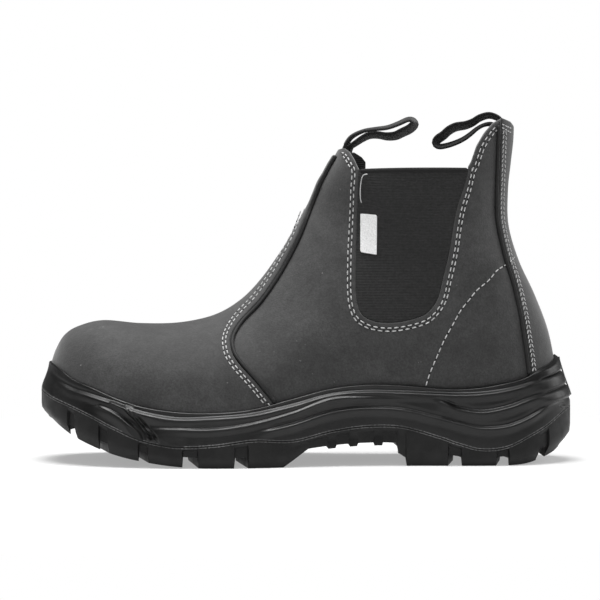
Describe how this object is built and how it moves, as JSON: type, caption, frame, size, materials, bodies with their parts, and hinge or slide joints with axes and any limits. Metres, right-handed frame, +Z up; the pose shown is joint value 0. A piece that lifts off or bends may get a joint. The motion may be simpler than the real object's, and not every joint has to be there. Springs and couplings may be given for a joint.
{
  "type": "work boot",
  "caption": "Left pull-on ankle work boot: hollow leather upper with elastic side panels and pull loops on a stepped, lugged black rubber sole.",
  "frame": {"origin": "on the floor under the middle of the boot's bounding box", "axes": "+Z up, -X towards the toe, -Y towards the outer (lateral) side of this left boot"},
  "size_m": [0.308, 0.1124, 0.2004],
  "materials": {
    "leather": "matte oiled nubuck, dark grey",
    "rubber": "moulded black, half gloss",
    "elastic": "black ribbed elastic",
    "webbing": "black woven tape",
    "piping": "black cord in a seam",
    "footbed": "dark felt",
    "label": "white woven tape, bare"
  },
  "bodies": {
    "root": {"outsole": "rubber", "midsole": "rubber", "insole": "footbed", "upper": "leather", "vamp": "leather", "backstay": "leather", "gore_lateral": "elastic", "gore_medial": "elastic", "label": "label", "pull_loop_front": "webbing", "pull_loop_rear": "webbing", "piping_front_lateral": "piping", "piping_front_medial": "piping", "piping_back_lateral": "piping", "piping_back_medial": "piping"}
  },
  "joints": []
}
